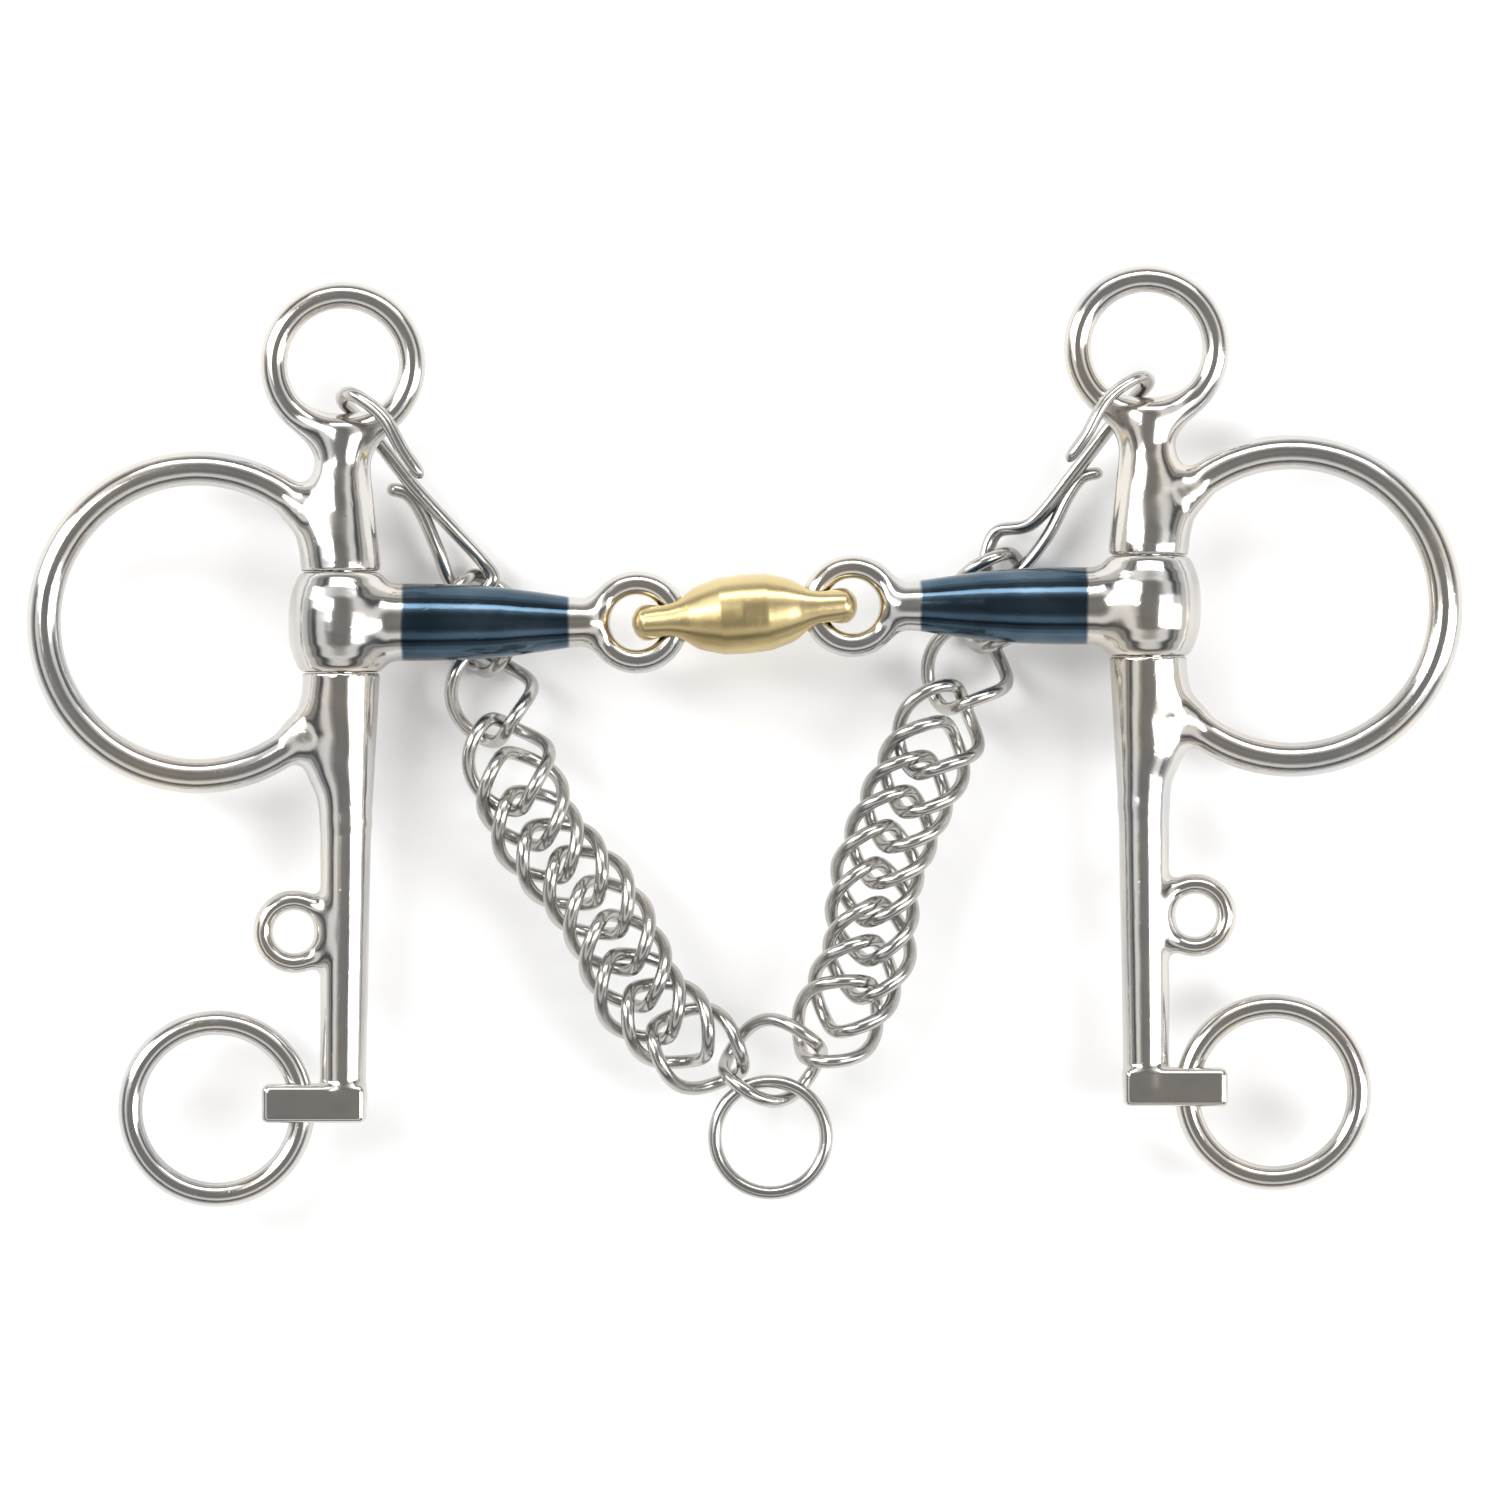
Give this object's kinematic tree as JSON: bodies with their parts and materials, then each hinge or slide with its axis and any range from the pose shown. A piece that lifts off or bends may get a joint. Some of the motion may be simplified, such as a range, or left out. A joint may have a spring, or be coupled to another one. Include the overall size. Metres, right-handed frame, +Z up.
{
  "type": "horse riding curb bit",
  "caption": "Pelham curb bit with a lozenge mouthpiece, large rein rings, loose curb rings, two curb hooks and a double-link curb chain with a fly link.",
  "frame": {"origin": "on the surface the bit lies on, under the middle of its overall length and width", "axes": "+X along the mouthpiece from the left cheek to the right, +Y from the curb rings towards the headstall eyes, +Z up off the surface"},
  "size_m": [0.2448, 0.1607, 0.0238],
  "materials": {
    "polished_steel": "polished cast stainless steel",
    "blued_steel": "polished steel, heat-blued on the arm between the bright barrel and the bright eye",
    "yellow_brass": "satin polished",
    "chain_steel": "worn bright wire"
  },
  "bodies": {
    "lozenge": {"lozenge": "yellow_brass"},
    "left_arm": {"left_arm": "blued_steel"},
    "right_arm": {"right_arm": "blued_steel"},
    "left_cheek": {"left_cheek": "polished_steel", "left_spindle": "polished_steel"},
    "right_cheek": {"right_cheek": "polished_steel", "right_spindle": "polished_steel"},
    "left_curb_ring": {"left_curb_ring": "polished_steel"},
    "right_curb_ring": {"right_curb_ring": "polished_steel"},
    "left_hook": {"left_hook": "chain_steel"},
    "right_hook": {"right_hook": "chain_steel"},
    "link_01": {"link_01": "chain_steel"},
    "link_02": {"link_02": "chain_steel"},
    "link_03": {"link_03": "chain_steel"},
    "link_04": {"link_04": "chain_steel"},
    "link_05": {"link_05": "chain_steel"},
    "link_06": {"link_06": "chain_steel"},
    "link_07": {"link_07": "chain_steel"},
    "link_08": {"link_08": "chain_steel"},
    "link_09": {"link_09": "chain_steel"},
    "link_10": {"link_10": "chain_steel"},
    "link_11": {"link_11": "chain_steel"},
    "link_12": {"link_12": "chain_steel"},
    "link_13": {"link_13": "chain_steel"},
    "link_14": {"link_14": "chain_steel"},
    "link_15": {"link_15": "chain_steel"},
    "link_16": {"link_16": "chain_steel"},
    "link_17": {"link_17": "chain_steel"},
    "link_18": {"link_18": "chain_steel"},
    "link_19": {"link_19": "chain_steel"},
    "link_20": {"link_20": "chain_steel"},
    "link_21": {"link_21": "chain_steel"},
    "link_22": {"link_22": "chain_steel"},
    "link_23": {"link_23": "chain_steel"},
    "link_24": {"link_24": "chain_steel"},
    "fly_link": {"fly_link": "chain_steel"}
  },
  "joints": [
    {"name": "left_fold", "type": "hinge", "parent": "lozenge", "child": "left_arm", "pos_m": [-0.0124, 0.01995, 0.015], "axis": [0, 1, 0], "range_deg": [-28, 36]},
    {"name": "right_fold", "type": "hinge", "parent": "lozenge", "child": "right_arm", "pos_m": [0.0118, 0.02245, 0.015], "axis": [0, -1, 0], "range_deg": [-28, 36]},
    {"name": "left_swivel", "type": "hinge", "parent": "left_arm", "child": "left_cheek", "pos_m": [-0.06925, 0.0198, 0.015], "axis": [0, 1, 0], "range_deg": [-20, 20]},
    {"name": "left_curb_ring_turn", "type": "hinge", "parent": "left_cheek", "child": "left_curb_ring", "pos_m": [-0.07605, -0.0632, 0.015], "axis": [0, 1, 0], "range_deg": [-100, 100]},
    {"name": "left_hook_hang", "type": "hinge", "parent": "left_cheek", "child": "left_hook", "pos_m": [-0.06925, 0.0198, 0.015], "axis": [0, 1, 0], "range_deg": [-20, 20]},
    {"name": "right_swivel", "type": "hinge", "parent": "right_arm", "child": "right_cheek", "pos_m": [0.06865, 0.0226, 0.015], "axis": [0, -1, 0], "range_deg": [-20, 20]},
    {"name": "right_curb_ring_turn", "type": "hinge", "parent": "right_cheek", "child": "right_curb_ring", "pos_m": [0.07545, -0.0604, 0.015], "axis": [0, -1, 0], "range_deg": [-100, 100]},
    {"name": "right_hook_hang", "type": "hinge", "parent": "right_cheek", "child": "right_hook", "pos_m": [0.06865, 0.0226, 0.015], "axis": [0, -1, 0], "range_deg": [-20, 20]},
    {"name": "link_01_turn", "type": "hinge", "parent": "left_hook", "child": "link_01", "pos_m": [-0.0456, 0.0198, 0.0045], "axis": [0.1616, -0.9869, 0], "range_deg": [-5, 5]},
    {"name": "link_02_turn", "type": "hinge", "parent": "link_01", "child": "link_02", "pos_m": [-0.0456, 0.0198, 0.0045], "axis": [0.1616, -0.9869, 0], "range_deg": [-5, 5]},
    {"name": "link_03_turn", "type": "hinge", "parent": "link_02", "child": "link_03", "pos_m": [-0.04038, -0.00421, 0.015], "axis": [0.286, -0.8907, 0.3533], "range_deg": [-5, 5]},
    {"name": "link_04_turn", "type": "hinge", "parent": "link_03", "child": "link_04", "pos_m": [-0.04038, -0.00421, 0.015], "axis": [0.286, -0.8907, 0.3533], "range_deg": [-5, 5]},
    {"name": "link_05_turn", "type": "hinge", "parent": "link_04", "child": "link_05", "pos_m": [-0.03558, -0.0165, 0.015], "axis": [0.5195, -0.8545, 0], "range_deg": [-5, 5]},
    {"name": "link_06_turn", "type": "hinge", "parent": "link_05", "child": "link_06", "pos_m": [-0.03558, -0.0165, 0.015], "axis": [0.5195, -0.8545, 0], "range_deg": [-5, 5]},
    {"name": "link_07_turn", "type": "hinge", "parent": "link_06", "child": "link_07", "pos_m": [-0.02679, -0.02634, 0.015], "axis": [0.606, -0.7955, 0], "range_deg": [-5, 5]},
    {"name": "link_08_turn", "type": "hinge", "parent": "link_07", "child": "link_08", "pos_m": [-0.02679, -0.02634, 0.015], "axis": [0.606, -0.7955, 0], "range_deg": [-5, 5]},
    {"name": "link_09_turn", "type": "hinge", "parent": "link_08", "child": "link_09", "pos_m": [-0.022, -0.03499, 0.015], "axis": [0, 1, 0], "range_deg": [-6.48, 5.04]},
    {"name": "link_10_turn", "type": "hinge", "parent": "link_09", "child": "link_10", "pos_m": [-0.01939, -0.04105, 0.015], "axis": [0, 1, 0], "range_deg": [-6.84, 5.32]},
    {"name": "link_11_turn", "type": "hinge", "parent": "link_10", "child": "link_11", "pos_m": [-0.01575, -0.04638, 0.015], "axis": [0, 1, 0], "range_deg": [-6.12, 4.76]},
    {"name": "link_12_turn", "type": "hinge", "parent": "link_11", "child": "link_12", "pos_m": [-0.01086, -0.05081, 0.015], "axis": [0, 1, 0], "range_deg": [-5.4, 4.2]},
    {"name": "link_13_turn", "type": "hinge", "parent": "link_12", "child": "link_13", "pos_m": [-0.00194, -0.05395, 0.015], "axis": [0, 1, 0], "range_deg": [-11.16, 8.68]},
    {"name": "link_24_turn", "type": "hinge", "parent": "right_hook", "child": "link_24", "pos_m": [0.04271, 0.0237, 0.0045], "axis": [0.3206, 0.9472, 0], "range_deg": [-5, 5]},
    {"name": "link_23_turn", "type": "hinge", "parent": "link_24", "child": "link_23", "pos_m": [0.04271, 0.0237, 0.0045], "axis": [0.3206, 0.9472, 0], "range_deg": [-5, 5]},
    {"name": "link_22_turn", "type": "hinge", "parent": "link_23", "child": "link_22", "pos_m": [0.03302, 0.0011, 0.015], "axis": [0.3909, 0.8499, -0.3533], "range_deg": [-5, 5]},
    {"name": "link_21_turn", "type": "hinge", "parent": "link_22", "child": "link_21", "pos_m": [0.03302, 0.0011, 0.015], "axis": [0.3909, 0.8499, -0.3533], "range_deg": [-5, 5]},
    {"name": "link_20_turn", "type": "hinge", "parent": "link_21", "child": "link_20", "pos_m": [0.0273, -0.0108, 0.015], "axis": [0.4258, 0.9048, 0], "range_deg": [-5, 5]},
    {"name": "link_19_turn", "type": "hinge", "parent": "link_20", "child": "link_19", "pos_m": [0.0273, -0.0108, 0.015], "axis": [0.4258, 0.9048, 0], "range_deg": [-5, 5]},
    {"name": "link_18_turn", "type": "hinge", "parent": "link_19", "child": "link_18", "pos_m": [0.02232, -0.02301, 0.015], "axis": [0.2453, 0.9694, 0], "range_deg": [-5, 5]},
    {"name": "link_17_turn", "type": "hinge", "parent": "link_18", "child": "link_17", "pos_m": [0.02232, -0.02301, 0.015], "axis": [0.2453, 0.9694, 0], "range_deg": [-5, 5]},
    {"name": "link_16_turn", "type": "hinge", "parent": "link_17", "child": "link_16", "pos_m": [0.021, -0.03614, 0.015], "axis": [0.2283, 0.9736, 0], "range_deg": [-5, 5]},
    {"name": "link_15_turn", "type": "hinge", "parent": "link_16", "child": "link_15", "pos_m": [0.021, -0.03614, 0.015], "axis": [0.2283, 0.9736, 0], "range_deg": [-5, 5]},
    {"name": "link_14_turn", "type": "hinge", "parent": "link_15", "child": "link_14", "pos_m": [0.01703, -0.0452, 0.015], "axis": [0, 1, 0], "range_deg": [-6.16, 7.92]},
    {"name": "fly_link_swing", "type": "hinge", "parent": "link_13", "child": "fly_link", "pos_m": [0.00586, -0.06179, 0.015], "axis": [0.7388, 0.1476, -0.6575], "range_deg": [-60, 5]}
  ],
  "couplings": [
    {"joint": "left_hook_hang", "follows": "left_swivel", "ratio": -1},
    {"joint": "right_hook_hang", "follows": "right_swivel", "ratio": -1},
    {"joint": "link_02_turn", "follows": "link_01_turn", "ratio": -1},
    {"joint": "link_03_turn", "follows": "link_01_turn", "ratio": 1},
    {"joint": "link_04_turn", "follows": "link_01_turn", "ratio": -1},
    {"joint": "link_05_turn", "follows": "link_01_turn", "ratio": 1},
    {"joint": "link_06_turn", "follows": "link_01_turn", "ratio": -1},
    {"joint": "link_07_turn", "follows": "link_01_turn", "ratio": 1},
    {"joint": "link_08_turn", "follows": "link_01_turn", "ratio": -1},
    {"joint": "link_09_turn", "follows": "left_fold", "ratio": -0.18},
    {"joint": "link_10_turn", "follows": "left_fold", "ratio": -0.19},
    {"joint": "link_11_turn", "follows": "left_fold", "ratio": -0.17},
    {"joint": "link_12_turn", "follows": "left_fold", "ratio": -0.15},
    {"joint": "link_13_turn", "follows": "left_fold", "ratio": -0.31},
    {"joint": "link_23_turn", "follows": "link_24_turn", "ratio": -1},
    {"joint": "link_22_turn", "follows": "link_24_turn", "ratio": 1},
    {"joint": "link_21_turn", "follows": "link_24_turn", "ratio": -1},
    {"joint": "link_20_turn", "follows": "link_24_turn", "ratio": 1},
    {"joint": "link_19_turn", "follows": "link_24_turn", "ratio": -1},
    {"joint": "link_18_turn", "follows": "link_24_turn", "ratio": 1},
    {"joint": "link_17_turn", "follows": "link_24_turn", "ratio": -1},
    {"joint": "link_16_turn", "follows": "link_24_turn", "ratio": 1},
    {"joint": "link_15_turn", "follows": "link_24_turn", "ratio": -1},
    {"joint": "link_14_turn", "follows": "right_fold", "ratio": 0.22}
  ]
}
